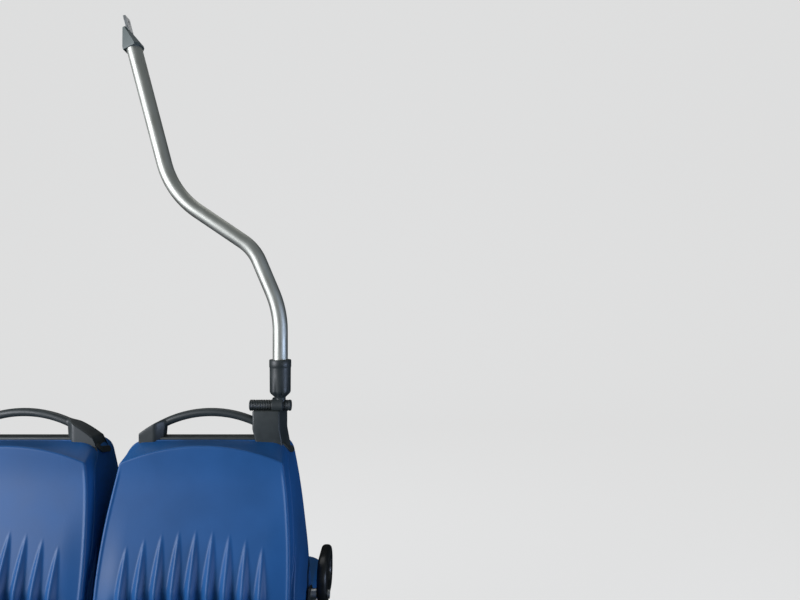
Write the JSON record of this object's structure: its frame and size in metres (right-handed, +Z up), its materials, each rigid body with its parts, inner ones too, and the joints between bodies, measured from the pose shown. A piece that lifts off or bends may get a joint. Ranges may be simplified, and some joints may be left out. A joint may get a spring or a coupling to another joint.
{
  "type": "double passenger seat with grab handles and stanchion",
  "caption": "Moulded bus seats side by side with a grab handle on each back, a bent stanchion to the ceiling, a tip-up loop armrest, and a floor leg and wall plate.",
  "frame": {"origin": "centre of the foot plate's underside, where the leg stands on the bus floor", "axes": "+X from the side wall to the aisle, +Y the way the seats face, +Z up"},
  "size_m": [0.972, 0.6437, 1.9326],
  "materials": {
    "blue_plastic": "moulded, fine grain, satin sheen",
    "dark_plastic": "moulded dark grey, fine grain",
    "stainless_tube": "satin ground along the tube",
    "collar_grey": "moulded mid grey",
    "frame_paint": "dark grey powder coat",
    "zinc_steel": "zinc plated",
    "armrest_black": "black integral skin"
  },
  "bodies": {
    "seat": {"window_seat_rear_panel": "blue_plastic", "window_seat_back_shell": "blue_plastic", "window_seat_cushion_pan": "blue_plastic", "window_seat_handle": "dark_plastic", "window_seat_left_rail": "frame_paint", "window_seat_right_rail": "frame_paint", "aisle_seat_rear_panel": "blue_plastic", "aisle_seat_back_shell": "blue_plastic", "aisle_seat_cushion_pan": "blue_plastic", "aisle_seat_handle": "dark_plastic", "aisle_seat_left_rail": "frame_paint", "aisle_seat_right_rail": "frame_paint", "ribbed_bar": "dark_plastic", "stanchion_clamp": "dark_plastic", "stanchion_socket": "dark_plastic", "stanchion_tube": "stainless_tube", "ceiling_collar": "collar_grey", "ceiling_tab": "zinc_steel", "armrest_bracket": "frame_paint", "armrest_pivot": "zinc_steel", "armrest_stop": "zinc_steel", "rear_cross_tube": "frame_paint", "front_cross_tube": "frame_paint", "head_beam": "frame_paint", "leg_post": "frame_paint", "foot_plate": "frame_paint", "wall_plate": "frame_paint"},
    "armrest": {"armrest_loop": "armrest_black"}
  },
  "joints": [
    {"name": "armrest_tip", "type": "hinge", "parent": "seat", "child": "armrest", "pos_m": [0.1775, -0.057, 0.505], "axis": [1, 0, 0], "range_deg": [0, 95]}
  ]
}
